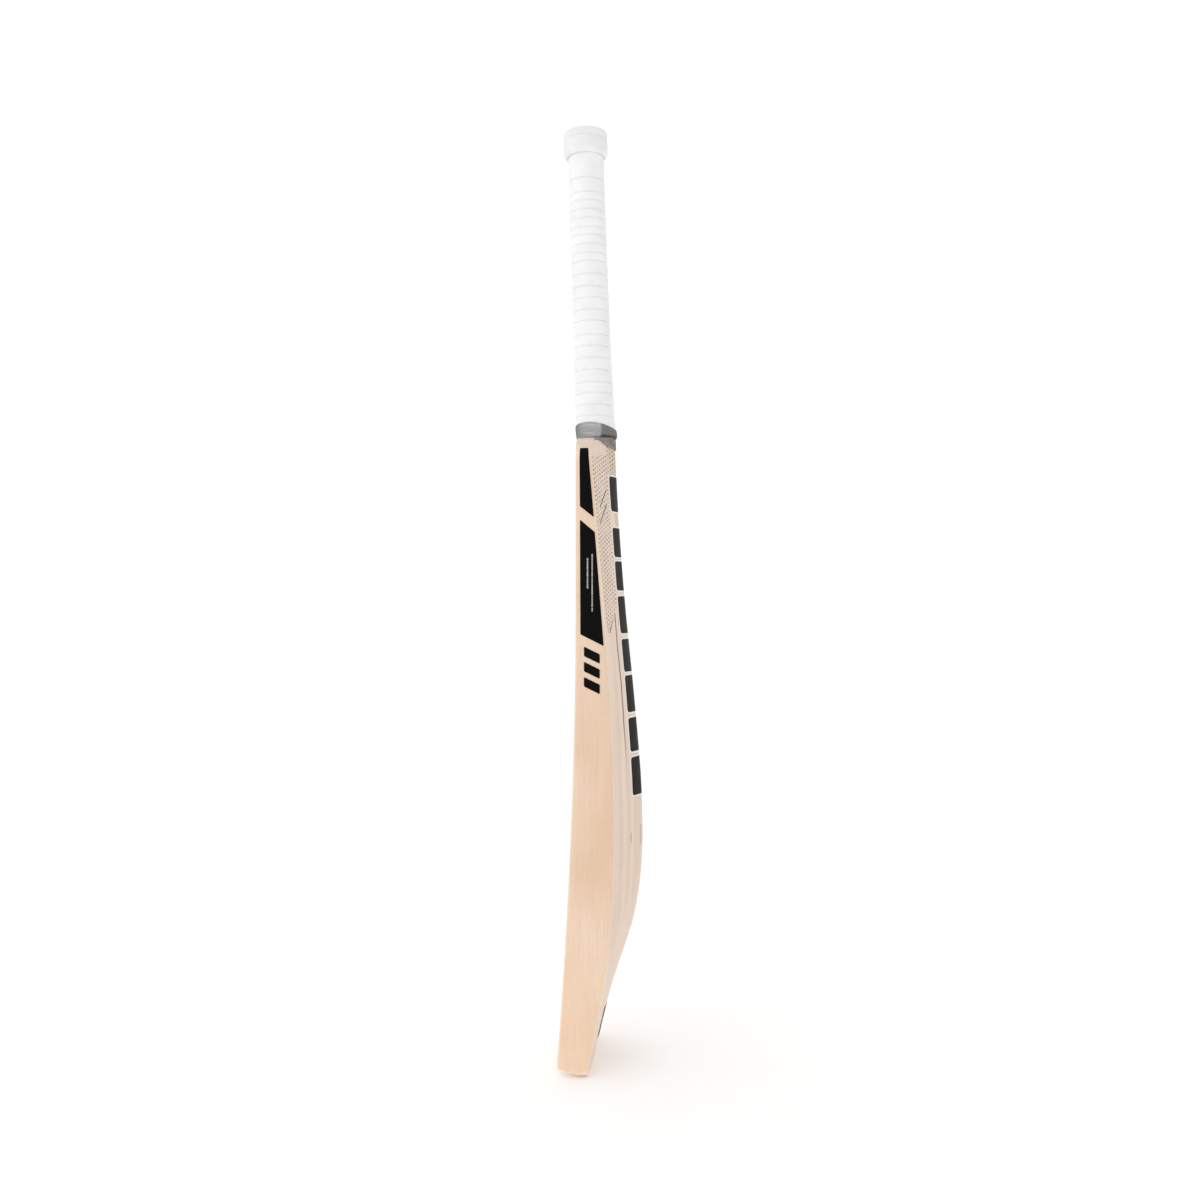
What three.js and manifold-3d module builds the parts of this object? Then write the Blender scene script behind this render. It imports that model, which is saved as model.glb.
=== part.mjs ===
// Cricket bat with a cane handle spliced into a willow blade.
// Millimetres. The origin is the middle of the toe, Z runs up the bat,
// the hitting face looks along -Y, the spine along +Y, and X is across the blade.
import * as THREE from 'three';
import { mergeVertices } from 'three/addons/utils/BufferGeometryUtils.js';
import Module from 'manifold-3d';

const wasm = await Module();
wasm.setup();

// Blade.
const bladeLength = 572;
const toeFlatY = 4;
const bladeHalfWidth = 53.2;
const edgeBulge = 0.8;
const faceCrown = 1.6;
const faceArris = 3;
const backArris = 2;
const toeCorner = 12;
const toeSlopeRise = 8;
const toeSlopeRun = 17;
const toeFaceRound = 3;
const toeFaceSetback = 0.9;
const toeBackRound = 1;
const bowStart = 396.5;
const bowDepth = 17.4;
const bowPower = 1.8;
const shoulderRadius = 24;
const shoulderArcZ = 544;
const shoulderArcEnd = 75.4;
const spineRound = 0.1;
const backHollow = 1.25;
const edgeRows = [
  [0, 28],
  [32, 30.4],
  [71.3, 35.4],
  [115.4, 39.2],
  [159.6, 40],
  [229.9, 38],
  [335.3, 31.5],
  [414.6, 25],
  [493.9, 19.3],
  [555.1, 14],
  [572, 12.9],
];
const spineRows = [
  [0, 29.4],
  [15, 31.6],
  [43.2, 36],
  [70.3, 41.6],
  [98.4, 49],
  [126.5, 56.6],
  [154.6, 60.6],
  [181.7, 62],
  [209.8, 61.7],
  [252, 58.6],
  [294.1, 54.2],
  [349.3, 48],
  [404.5, 42],
  [460.7, 37.2],
  [517, 33.5],
  [572, 31.2],
];

// Handle, measured from the foot of the handle in its own leaning frame.
const handleFootY = 13.2;
const handleLean = 1.96;
const handleLength = 285;
const handleSides = 24;
const coreDepthRows = [
  [-6, 16],
  [4, 15.8],
  [14, 15.1],
  [24, 15.2],
  [49, 14.8],
  [91, 13.9],
  [119, 13.7],
  [256, 13.3],
  [300, 13.3],
];
const coreWidthRows = [
  [-6, 15.6],
  [4, 15.4],
  [14, 15.1],
  [24, 14.9],
  [49, 14.3],
  [91, 13.6],
  [256, 13.3],
  [300, 13.3],
];
// The cane swells towards the back where it meets the blade.
const coreShiftRows = [
  [-6, 1.4],
  [4, 1.3],
  [14, 0.6],
  [24, 0],
  [300, 0],
];
const fitGap = 0.3;
const twineThickness = 0.7;
const gripThickness = 1.9;
const bandThickness = 3.8;
const bandLength = 23;
const tapeThickness = 1;

// Splice: a wedge of cane let into the blade.
const wedgeHalfTop = 18;
const wedgeHalfTip = 1.8;
const wedgeDepth = 150;
const slipColumn = 5.3;
const springPitch = 7.4;
const springHalf = 0.7;
const glueGap = 0.2;

// Stickers.
const filmGap = 0.15;
const filmThickness = 0.35;
const tongueThickness = 0.75;

// Heights of the ring grooves round the grip, above the toe.
const grooveHeights = [
  592.6, 602.6, 613.6, 623.6, 634.9, 645.9, 656.9, 667.4, 680.2, 690.3, 701.2, 711.7,
  723.2, 735, 742.3, 750.6, 759, 766.2, 774.7, 782.5, 790.7, 798.5, 811.7,
];

function degrees(angle) {
  return THREE.MathUtils.degToRad(angle);
}

// A smooth curve through rows of [position, value].
function track(rows) {
  const slopes = rows.map((row, i) => {
    const before = rows[Math.max(i - 1, 0)];
    const after = rows[Math.min(i + 1, rows.length - 1)];
    return (after[1] - before[1]) / (after[0] - before[0]);
  });
  return (position) => {
    const at = THREE.MathUtils.clamp(position, rows[0][0], rows[rows.length - 1][0]);
    let i = 0;
    while (i < rows.length - 2 && at > rows[i + 1][0]) {
      i += 1;
    }
    const span = rows[i + 1][0] - rows[i][0];
    const t = (at - rows[i][0]) / span;
    const rise = t * t * (3 - 2 * t);
    const leave = t * (1 - t) * (1 - t) * span * slopes[i];
    const arrive = t * t * (t - 1) * span * slopes[i + 1];
    return rows[i][1] * (1 - rise) + rows[i + 1][1] * rise + leave + arrive;
  };
}

const edgeDepth = track(edgeRows);
const spineDepth = track(spineRows);
const coreDepth = track(coreDepthRows);
const coreWidth = track(coreWidthRows);
const coreShift = track(coreShiftRows);

// How far a corner rounded to a radius has drawn in at a height above its end.
function roundIn(radius, height) {
  if (height >= radius) {
    return 0;
  }
  return radius - radius * Math.sqrt(1 - (1 - height / radius) ** 2);
}

function solid(geometry) {
  const bare = new THREE.BufferGeometry();
  bare.setAttribute('position', geometry.attributes.position.clone());
  if (geometry.index) {
    bare.setIndex(geometry.index.clone());
  }
  const merged = mergeVertices(bare, 1e-4);
  const mesh = new wasm.Mesh({
    numProp: 3,
    vertProperties: new Float32Array(merged.attributes.position.array),
    triVerts: new Uint32Array(merged.index.array),
  });
  return new wasm.Manifold(mesh);
}

function pieceFrom(body, name, material) {
  const data = body.getMesh();
  const geometry = new THREE.BufferGeometry();
  geometry.setAttribute('position', new THREE.BufferAttribute(data.vertProperties, 3));
  geometry.setIndex(new THREE.BufferAttribute(data.triVerts, 1));
  geometry.computeVertexNormals();
  const mesh = new THREE.Mesh(geometry, material.clone());
  mesh.name = name;
  return mesh;
}

// A closed body through a stack of rings, lowest first.
// Each ring starts on the -Y side and runs counter-clockwise seen from above.
function loft(rings) {
  const sides = rings[0].length;
  const levels = rings.length - 1;
  const geometry = new THREE.CylinderGeometry(1, 1, 1, sides, levels);
  const position = geometry.attributes.position;
  for (let i = 0; i < position.count; i += 1) {
    const ring = rings[Math.round((position.getY(i) + 0.5) * levels)];
    const x = position.getX(i);
    const z = position.getZ(i);
    if (Math.hypot(x, z) < 0.5) {
      const front = ring[0];
      const back = ring[sides / 2];
      position.setXYZ(
        i,
        (front[0] + back[0]) / 2,
        (front[1] + back[1]) / 2,
        (front[2] + back[2]) / 2,
      );
    } else {
      const turn = Math.round((Math.atan2(x, z) / (2 * Math.PI)) * sides);
      const point = ring[(turn + sides) % sides];
      position.setXYZ(i, point[0], point[1], point[2]);
    }
  }
  return geometry;
}

// Half width of the blade outline, with its rounded toe corners and shoulders.
function halfWidth(z) {
  const arcTopZ = shoulderArcZ + shoulderRadius * Math.sin(degrees(shoulderArcEnd));
  const arcX = bladeHalfWidth - shoulderRadius;
  if (z < toeCorner) {
    return bladeHalfWidth - roundIn(toeCorner, z);
  }
  if (z <= shoulderArcZ) {
    return bladeHalfWidth;
  }
  if (z <= arcTopZ) {
    const rise = z - shoulderArcZ;
    return arcX + Math.sqrt(shoulderRadius * shoulderRadius - rise * rise);
  }
  const arcTopX = arcX + shoulderRadius * Math.cos(degrees(shoulderArcEnd));
  const t = (z - arcTopZ) / (bladeLength - arcTopZ);
  return THREE.MathUtils.lerp(arcTopX, wedgeHalfTop - 0.3, t);
}

function faceY(x, z) {
  const across = x / bladeHalfWidth;
  const bow = z < bowStart ? bowDepth * ((bowStart - z) / bowStart) ** bowPower : 0;
  return -bow - faceCrown * (1 - across * across);
}

// Depth from the chord of the face back to the willow, full at the spine.
function backY(x, z) {
  const across = Math.min(Math.abs(x) / bladeHalfWidth, 1);
  const soft = Math.hypot(across, spineRound) - spineRound;
  const reach = soft / (Math.hypot(1, spineRound) - spineRound);
  const hump = (1 - reach) ** backHollow;
  const chord = faceY(bladeHalfWidth, z);
  return chord + edgeDepth(z) + (spineDepth(z) - edgeDepth(z)) * hump;
}

// How far the face is set back at the toe, by its sloping underside and the rounded corner above.
function toeSetback(z) {
  if (z < toeSlopeRise) {
    return toeFaceSetback + toeSlopeRun * (1 - z / toeSlopeRise);
  }
  const left = Math.max(0, 1 - (z - toeSlopeRise) / toeFaceRound);
  return toeFaceSetback * left * left;
}

function bladeRing(z, off) {
  const wide = halfWidth(z) + off;
  const front = (x) => faceY(x, z) - off + toeSetback(z);
  const rear = (x) => backY(x, z) + off * 1.1 - roundIn(toeBackRound, z);
  const right = [];
  for (const part of [0, 0.36, 0.7]) {
    const x = part * (wide - faceArris);
    right.push([x, front(x)]);
  }
  for (const angle of [-90, -60, -30, 0]) {
    right.push([
      wide - faceArris + faceArris * Math.cos(degrees(angle)),
      front(wide) + faceArris + faceArris * Math.sin(degrees(angle)),
    ]);
  }
  const edgeFrom = front(wide) + faceArris;
  const edgeTo = rear(wide) - backArris;
  for (const part of [0.3, 0.7]) {
    right.push([wide + edgeBulge, THREE.MathUtils.lerp(edgeFrom, edgeTo, part)]);
  }
  for (const angle of [0, 30, 60, 90]) {
    right.push([
      wide - backArris + backArris * Math.cos(degrees(angle)),
      rear(wide) - backArris + backArris * Math.sin(degrees(angle)),
    ]);
  }
  for (const part of [0.85, 0.69, 0.53, 0.37, 0.22, 0.09]) {
    const x = part * (wide - backArris);
    right.push([x, rear(x)]);
  }
  const left = right.slice(1).reverse().map(([x, y]) => [-x, y]);
  const ring = [...right, [0, rear(0)], ...left];
  return ring.map(([x, y]) => [x, y, z]);
}

function bladeBody(off) {
  const heights = [];
  for (const angle of [0, 20, 36, 52]) {
    heights.push(toeCorner * (1 - Math.cos(degrees(angle))));
  }
  heights.push(toeSlopeRise, toeSlopeRise + 0.4 * toeFaceRound, toeSlopeRise + toeFaceRound);
  heights.push(18, 32, 51, 71, 89, 107, 125, 143, 162, 182, 208, 236, 264, 292, 320, 349);
  heights.push(379, 409, 439, 469, 500, 526);
  for (const angle of [0, 14, 28, 42, 54, 65, shoulderArcEnd]) {
    heights.push(shoulderArcZ + shoulderRadius * Math.sin(degrees(angle)));
  }
  heights.push(569.8, bladeLength);
  return loft(heights.map((z) => bladeRing(z, off)));
}

// An outline with its corners rounded.
function outlineShape(corners, radius) {
  const shape = new THREE.Shape();
  corners.forEach((corner, i) => {
    const here = new THREE.Vector2(...corner);
    const before = new THREE.Vector2(...corners[(i + corners.length - 1) % corners.length]);
    const after = new THREE.Vector2(...corners[(i + 1) % corners.length]);
    const from = here.clone().add(before.sub(here).setLength(radius));
    const to = here.clone().add(after.sub(here).setLength(radius));
    if (i === 0) {
      shape.moveTo(from.x, from.y);
    } else {
      shape.lineTo(from.x, from.y);
    }
    shape.quadraticCurveTo(here.x, here.y, to.x, to.y);
  });
  return shape;
}

function prism(shape, depth, matrix) {
  const geometry = new THREE.ExtrudeGeometry(shape, {
    depth,
    bevelEnabled: false,
    curveSegments: 3,
  });
  return geometry.applyMatrix4(matrix);
}

// Outline in Y and Z, extruded along X from a starting X.
function sidePrism(shape, startX, depth) {
  const turn = new THREE.Matrix4().makeBasis(
    new THREE.Vector3(0, 1, 0),
    new THREE.Vector3(0, 0, 1),
    new THREE.Vector3(1, 0, 0),
  );
  turn.setPosition(startX, 0, 0);
  return prism(shape, depth, turn);
}

// Outline in X and Z, extruded along -Y from a starting Y.
function backPrism(shape, startY, depth) {
  const turn = new THREE.Matrix4().makeBasis(
    new THREE.Vector3(1, 0, 0),
    new THREE.Vector3(0, 0, 1),
    new THREE.Vector3(0, -1, 0),
  );
  turn.setPosition(0, startY, 0);
  return prism(shape, depth, turn);
}

function box(x0, x1, y0, y1, z0, z1) {
  const geometry = new THREE.BoxGeometry(x1 - x0, y1 - y0, z1 - z0);
  return geometry.translate((x0 + x1) / 2, (y0 + y1) / 2, (z0 + z1) / 2);
}

// An oval body round the handle axis through rows of [height, allowance, slope, hump].
// The allowance is added to the bare cane; the slope tips the ring towards the back,
// and the hump lifts it at its two sides.
function handleBody(rows) {
  const rings = rows.map(([height, allowance, slope = 0, hump = 0]) => {
    const ring = [];
    for (let i = 0; i < handleSides; i += 1) {
      const angle = degrees(-90 + (360 * i) / handleSides);
      const x = (coreWidth(height) + allowance) * Math.cos(angle);
      const y = (coreDepth(height) + allowance) * Math.sin(angle);
      const lift = slope * y + hump * Math.cos(angle) ** 2;
      ring.push([x, y + coreShift(height), height + lift]);
    }
    return ring;
  });
  return loft(rings);
}

function sleeve(outerRows, innerRows) {
  return solid(handleBody(outerRows)).subtract(solid(handleBody(innerRows)));
}

function evenRows(from, to, allowance) {
  const rows = [];
  for (const height of [from, 4, 14, 24, 53, 95, 150, to]) {
    rows.push([height, allowance]);
  }
  return rows;
}

const colours = {
  willow: new THREE.MeshStandardMaterial({ color: 0xe4c39a, roughness: 0.55, metalness: 0 }),
  cane: new THREE.MeshStandardMaterial({ color: 0xcfae78, roughness: 0.7, metalness: 0 }),
  spring: new THREE.MeshStandardMaterial({ color: 0x2c2a28, roughness: 0.85, metalness: 0 }),
  twine: new THREE.MeshStandardMaterial({ color: 0xd9d2bd, roughness: 0.9, metalness: 0 }),
  grip: new THREE.MeshStandardMaterial({ color: 0xf3f3f1, roughness: 0.6, metalness: 0 }),
  band: new THREE.MeshStandardMaterial({ color: 0xefefed, roughness: 0.6, metalness: 0 }),
  tape: new THREE.MeshStandardMaterial({ color: 0x8d8f90, roughness: 0.8, metalness: 0 }),
  tongue: new THREE.MeshStandardMaterial({ color: 0x7b7472, roughness: 0.7, metalness: 0 }),
  vinyl: new THREE.MeshStandardMaterial({ color: 0x0d0c0c, roughness: 0.35, metalness: 0 }),
  hatch: new THREE.MeshStandardMaterial({ color: 0xb9ab98, roughness: 0.5, metalness: 0 }),
};

const bat = new THREE.Group();
bat.name = 'cricket_bat';

const handle = new THREE.Group();
handle.name = 'handle';
handle.position.set(0, handleFootY, bladeLength);
handle.rotation.x = degrees(handleLean);
handle.updateMatrix();
const toHandle = handle.matrix.clone().invert();

// The wedge is widest at the foot of the handle and runs straight on above it.
function wedge(slack) {
  const shape = new THREE.Shape();
  shape.moveTo(-wedgeHalfTip - slack, -wedgeDepth - slack);
  shape.lineTo(wedgeHalfTip + slack, -wedgeDepth - slack);
  shape.lineTo(wedgeHalfTop + slack, 0);
  shape.lineTo(wedgeHalfTop + slack, 20);
  shape.lineTo(-wedgeHalfTop - slack, 20);
  shape.lineTo(-wedgeHalfTop - slack, 0);
  return backPrism(shape, 60, 120);
}

const slot = solid(wedge(fitGap).applyMatrix4(handle.matrix));
bat.add(pieceFrom(solid(bladeBody(0)).subtract(slot), 'blade', colours.willow));

// Cane core: a round handle above and a tenon flush with the willow below.
const tenon = solid(bladeBody(0).applyMatrix4(toHandle)).intersect(solid(wedge(0)));
const core = tenon.add(solid(handleBody(evenRows(-6, handleLength, 0))));
const layerEdges = [-30, -springPitch, 0, springPitch, 40];
const columnEdges = [-30, -slipColumn, slipColumn, 30];
let slipNumber = 0;
for (let layer = 0; layer < 4; layer += 1) {
  for (let column = 0; column < 3; column += 1) {
    slipNumber += 1;
    const bar = box(
      columnEdges[column] + glueGap / 2,
      columnEdges[column + 1] - glueGap / 2,
      layerEdges[layer] + springHalf + glueGap,
      layerEdges[layer + 1] - springHalf - glueGap,
      -200,
      handleLength,
    );
    handle.add(pieceFrom(core.intersect(solid(bar)), `cane_slip_${slipNumber}`, colours.cane));
  }
}
for (let i = 0; i < 3; i += 1) {
  const y = layerEdges[i + 1];
  const sheet = box(-30, 30, y - springHalf, y + springHalf, -200, handleLength - 0.4);
  handle.add(pieceFrom(core.intersect(solid(sheet)), `spring_strip_${i + 1}`, colours.spring));
}

// Twine wound over the cane, then the rubber grip pulled over the twine.
const twineIn = fitGap;
const twineOut = twineIn + twineThickness;
const gripIn = twineOut + fitGap;
const gripOut = gripIn + gripThickness;
const twine = sleeve(evenRows(1.5, handleLength - 0.6, twineOut), evenRows(-4, 296, twineIn));
handle.add(pieceFrom(twine, 'twine_binding', colours.twine));

const gripRows = [
  [6.8, gripOut - 0.5],
  [7.6, gripOut],
  [14, gripOut],
];
for (const height of grooveHeights) {
  const at = (height - bladeLength) / Math.cos(degrees(handleLean));
  gripRows.push([at - 1.4, gripOut + 0.3]);
  gripRows.push([at, gripOut - 0.6]);
}
gripRows.push([256, gripOut]);
gripRows.push([handleLength - 0.8, gripOut]);
const grip = sleeve(gripRows, evenRows(-4, 296, gripIn));
handle.add(pieceFrom(grip, 'grip', colours.grip));

const bandIn = gripOut + fitGap;
const bandOut = bandIn + bandThickness;
const bandFrom = handleLength - bandLength;
const bandRows = [
  [bandFrom, bandOut - 2.6],
  [bandFrom + 0.6, bandOut - 1.4],
  [bandFrom + 2.2, bandOut - 0.3],
  [bandFrom + 4.5, bandOut],
  [handleLength - 7.8, bandOut],
  [handleLength - 7, bandOut - 0.35],
  [handleLength - 6, bandOut],
  [handleLength - 2.6, bandOut - 0.1],
  [handleLength - 0.8, bandOut - 0.9],
  [handleLength, bandOut - 2.4],
];
const band = sleeve(bandRows, [
  [bandFrom - 8, bandIn],
  [handleLength + 8, bandIn],
]);
handle.add(pieceFrom(band, 'grip_end_band', colours.band));

// Tape wound in lapped turns over the foot of the grip.
const tapeIn = gripOut + fitGap;
const tapeOut = tapeIn + tapeThickness;
const tapeRows = [
  [1, twineOut + 1, 0.03, 0],
  [1.8, twineOut + 1.4, 0.02, 0],
  [4.6, tapeOut - 0.6, 0, 0.4],
  [5.1, tapeOut - 0.7, -0.01, 0.6],
  [5.7, tapeOut - 0.2, -0.02, 0.8],
  [7.4, tapeOut, -0.06, 1.8],
  [7.9, tapeOut - 0.25, -0.07, 2],
  [8.4, tapeOut, -0.08, 2.2],
  [10.2, tapeOut - 0.1, -0.13, 3.3],
  [10.7, tapeOut - 0.5, -0.14, 3.5],
];
const tape = sleeve(tapeRows, [
  [-6, twineOut + 0.4],
  [3.2, twineOut + 0.4],
  [6, tapeIn],
  [14, tapeIn],
  [22, tapeIn],
]);
handle.add(pieceFrom(tape, 'throat_tape', colours.tape));
bat.add(handle);

// Thin stickers that follow the willow.
const filmInside = solid(bladeBody(filmGap));
const filmShell = solid(bladeBody(filmGap + filmThickness)).subtract(filmInside);
const tongueShell = solid(bladeBody(filmGap + tongueThickness)).subtract(filmInside);

// Lip of tape stuck down on the back of the shoulder below the wound band.
const lip = new THREE.Shape();
lip.moveTo(19, 571.7);
lip.lineTo(-19, 571.7);
lip.lineTo(-34, 569.5);
lip.absellipse(0, 572.5, 37, 10.2, degrees(203), degrees(337), false);
lip.lineTo(34, 569.5);
const tongue = tongueShell.intersect(solid(backPrism(lip, 60, 45)));
bat.add(pieceFrom(tongue, 'throat_binding', colours.tongue));

const panelOutlines = {
  upper: [[4, 558.3], [4.4, 506.3], [16.7, 496.6], [11.4, 558.3]],
  lower: [[4.4, 494.5], [4.8, 393.3], [25.4, 383.1], [17.6, 483.4]],
};
const badgeHeights = [375, 361.6, 348.2];
const sides = { near: 1, far: -1 };
for (const [side, sign] of Object.entries(sides)) {
  const startX = sign > 0 ? 40 : -70;
  for (const [place, corners] of Object.entries(panelOutlines)) {
    const cutter = sidePrism(outlineShape(corners, 1), startX, 30);
    const film = filmShell.intersect(solid(cutter));
    bat.add(pieceFrom(film, `edge_panel_${side}_${place}`, colours.vinyl));
  }
  badgeHeights.forEach((height, i) => {
    const corners = [
      [8, height + 7.5],
      [8, height - 0.8],
      [22, height - 7.5],
      [22, height + 0.8],
    ];
    const cutter = sidePrism(outlineShape(corners, 1), startX, 30);
    const film = filmShell.intersect(solid(cutter));
    bat.add(pieceFrom(film, `edge_badge_${side}_${i + 1}`, colours.vinyl));
  });
}

// A row of plain blocks down the spine, each between two heights, inside a pale border.
const blockHalfWidth = 18;
const blockBorder = 1.4;
const blockSpans = [
  [504.6, 536.9],
  [462.8, 489.8],
  [432.2, 459.2],
  [393, 427.2],
  [357.9, 388],
  [320.9, 354.8],
  [285, 316],
  [245.2, 280.2],
];
blockSpans.forEach(([low, high], i) => {
  const reach = blockHalfWidth + blockBorder;
  const corners = [
    [-reach, low - blockBorder],
    [reach, low - blockBorder],
    [reach, high + blockBorder],
    [-reach, high + blockBorder],
  ];
  const film = filmShell.intersect(solid(backPrism(outlineShape(corners, 5), 90, 80)));
  bat.add(pieceFrom(film, `spine_block_${i + 1}`, colours.vinyl));
});

// Printed film tapering down each side of the spine.
for (const [side, sign] of Object.entries(sides)) {
  const corners = [[21, 556], [21, 418], [40, 394], [44, 396], [50.4, 460], [50.4, 550]];
  const outline = corners.map(([x, z]) => [sign * x, z]);
  if (sign < 0) {
    outline.reverse();
  }
  const film = filmShell.intersect(solid(backPrism(outlineShape(outline, 1), 90, 80)));
  bat.add(pieceFrom(film, `back_print_${side}`, colours.hatch));
}

// Short bars low on the back, near the toe.
const toeBarSpans = [
  [21.8, 29.2],
  [30.8, 38.4],
  [40, 49.8],
];
toeBarSpans.forEach(([low, high], i) => {
  const corners = [
    [-12, low],
    [12, low],
    [12, high],
    [-12, high],
  ];
  const film = filmShell.intersect(solid(backPrism(outlineShape(corners, 1), 60, 55)));
  bat.add(pieceFrom(film, `toe_bar_${i + 1}`, colours.vinyl));
});

// The origin is the middle of the flat under the toe.
bat.position.set(0, -toeFlatY, 0);

export default bat;
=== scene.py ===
import math

import bpy
from mathutils import Matrix, Vector


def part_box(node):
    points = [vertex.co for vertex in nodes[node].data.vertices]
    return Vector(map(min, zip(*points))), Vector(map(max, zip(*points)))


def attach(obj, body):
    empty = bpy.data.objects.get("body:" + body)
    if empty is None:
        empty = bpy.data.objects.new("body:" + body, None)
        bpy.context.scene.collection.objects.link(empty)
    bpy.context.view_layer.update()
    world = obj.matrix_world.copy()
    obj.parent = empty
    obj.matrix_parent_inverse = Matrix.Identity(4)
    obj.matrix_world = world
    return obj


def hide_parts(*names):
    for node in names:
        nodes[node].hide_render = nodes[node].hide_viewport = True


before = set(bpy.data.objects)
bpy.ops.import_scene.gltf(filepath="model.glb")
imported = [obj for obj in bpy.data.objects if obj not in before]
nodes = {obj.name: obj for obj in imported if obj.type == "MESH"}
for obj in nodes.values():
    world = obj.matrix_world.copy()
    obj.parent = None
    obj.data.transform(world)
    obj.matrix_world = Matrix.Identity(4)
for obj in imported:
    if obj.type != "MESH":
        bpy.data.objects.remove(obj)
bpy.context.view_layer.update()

print("frame loaded:", len(nodes), "nodes")

view = {
    "aim": (0.054, 0.0182, 0.4236),   # on the near edge of the blade, half way up the bat
    "distance": 0.974,
    "azimuth": 95,                    # degrees, a little behind the edge
    "lens": 33.2,
    "sensor": 36,
    "clip": (0.01, 60),
}


def addCamera():
    turn = math.radians(view["azimuth"])
    away = Vector((math.sin(turn), -math.cos(turn), 0))
    data = bpy.data.cameras.new("batCamera")
    data.lens = view["lens"]
    data.sensor_width = view["sensor"]
    data.clip_start, data.clip_end = view["clip"]
    camera = bpy.data.objects.new("batCamera", data)
    camera.location = Vector(view["aim"]) + away * view["distance"]
    camera.rotation_euler = (math.radians(90), 0, turn)
    bpy.context.scene.collection.objects.link(camera)
    bpy.context.scene.camera = camera


studio = {
    "sky": 1.08,
    "dimSide": (0.23, 0.9, 0.37),   # the way that sends the least light
    "dimFrom": 0.33,
    "dimming": 0.8,
    "dimOver": (0.02, 0.45),        # height of the sky over which the dimming sets in
    "keySize": 1.4,
    "keyPower": 1.5,
    "keyPlace": (1.5, -1.7, 1.2),
    "keyAim": (0, 0, 0.45),
    "floorSize": 40,
    "floorTone": (0.975, 0.99),
    "floorGlow": 0.09,
}


def addKeyLamp():
    data = bpy.data.lights.new("keySoft", "AREA")
    data.shape = "DISK"
    data.size = studio["keySize"]
    data.energy = studio["keyPower"]
    lamp = bpy.data.objects.new("keySoft", data)
    lamp.location = studio["keyPlace"]
    toAim = Vector(studio["keyAim"]) - Vector(studio["keyPlace"])
    lamp.rotation_euler = toAim.to_track_quat("-Z", "Y").to_euler()
    bpy.context.scene.collection.objects.link(lamp)


def setStudio():
    world = bpy.data.worlds.new("studio")
    world.use_nodes = True
    tree = world.node_tree
    way = tree.nodes.new("ShaderNodeTexCoord").outputs["Generated"]
    side = tree.nodes.new("ShaderNodeVectorMath")
    side.operation = "DOT_PRODUCT"
    side.inputs[1].default_value = studio["dimSide"]
    tree.links.new(way, side.inputs[0])
    past = sums(tree, "SUBTRACT", side.outputs["Value"], studio["dimFrom"])
    up = smoothStep(tree, split(tree, way)[2], *studio["dimOver"])
    dim = times(tree, times(tree, sums(tree, "MAXIMUM", past, 0.0), up), -studio["dimming"])
    back = tree.nodes["Background"]
    back.inputs["Color"].default_value = (1, 1, 1, 1)
    feed(tree, back.inputs["Strength"], sums(tree, "ADD", dim, studio["sky"]))
    bpy.context.scene.world = world
    bpy.context.scene.view_settings.view_transform = "Standard"
    addKeyLamp()


def newMaterial(name):
    material = bpy.data.materials.new(name)
    material.use_nodes = True
    tree = material.node_tree
    tree.nodes.clear()
    out = tree.nodes.new("ShaderNodeOutputMaterial")
    shader = tree.nodes.new("ShaderNodeBsdfPrincipled")
    tree.links.new(shader.outputs["BSDF"], out.inputs["Surface"])
    return material, tree, shader


def feed(tree, socket, source):
    if isinstance(source, bpy.types.NodeSocket):
        tree.links.new(source, socket)
    elif source is not None:
        socket.default_value = source


def sums(tree, operation, a, b=0.0, c=None):
    node = tree.nodes.new("ShaderNodeMath")
    node.operation = operation
    feed(tree, node.inputs[0], a)
    feed(tree, node.inputs[1], b)
    feed(tree, node.inputs[2], c)
    return node.outputs[0]


def place(tree, scale=(1, 1, 1), location=(0, 0, 0), rotation=(0, 0, 0)):
    spot = tree.nodes.new("ShaderNodeTexCoord")
    mapping = tree.nodes.new("ShaderNodeMapping")
    mapping.inputs["Scale"].default_value = scale
    mapping.inputs["Location"].default_value = location
    mapping.inputs["Rotation"].default_value = rotation
    tree.links.new(spot.outputs["Object"], mapping.inputs["Vector"])
    return mapping.outputs["Vector"]


def noise(tree, vector, scale=1.0, detail=3, rough=0.5):
    node = tree.nodes.new("ShaderNodeTexNoise")
    node.inputs["Scale"].default_value = scale
    node.inputs["Detail"].default_value = detail
    node.inputs["Roughness"].default_value = rough
    tree.links.new(vector, node.inputs["Vector"])
    return node.outputs[0]


def ramp(tree, factor, *stops):
    # a stop is a place and a colour, or a place and one number for a grey
    node = tree.nodes.new("ShaderNodeValToRGB")
    marks = node.color_ramp.elements
    while len(marks) < len(stops):
        marks.new(0.5)
    for mark, (at, tone) in zip(marks, stops):
        mark.position = at
        mark.color = (*tone, 1) if isinstance(tone, tuple) else (tone, tone, tone, 1)
    feed(tree, node.inputs[0], factor)
    return node.outputs[0]


def times(tree, a, b):
    return sums(tree, "MULTIPLY", a, b)


def rest(tree, share):
    # what is left of 1
    return sums(tree, "SUBTRACT", 1.0, share)


def mix(tree, factor, a, b, how="MIX"):
    node = tree.nodes.new("ShaderNodeMix")
    node.data_type = "RGBA"
    node.blend_type = how
    feed(tree, node.inputs[0], factor)
    feed(tree, node.inputs[6], a if isinstance(a, bpy.types.NodeSocket) else (*a, 1))
    feed(tree, node.inputs[7], b if isinstance(b, bpy.types.NodeSocket) else (*b, 1))
    return node.outputs[2]


def bump(tree, shader, height, strength, distance):
    node = tree.nodes.new("ShaderNodeBump")
    node.inputs["Strength"].default_value = strength
    node.inputs["Distance"].default_value = distance
    feed(tree, node.inputs["Height"], height)
    feed(tree, shader.inputs["Normal"], node.outputs[0])


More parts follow.
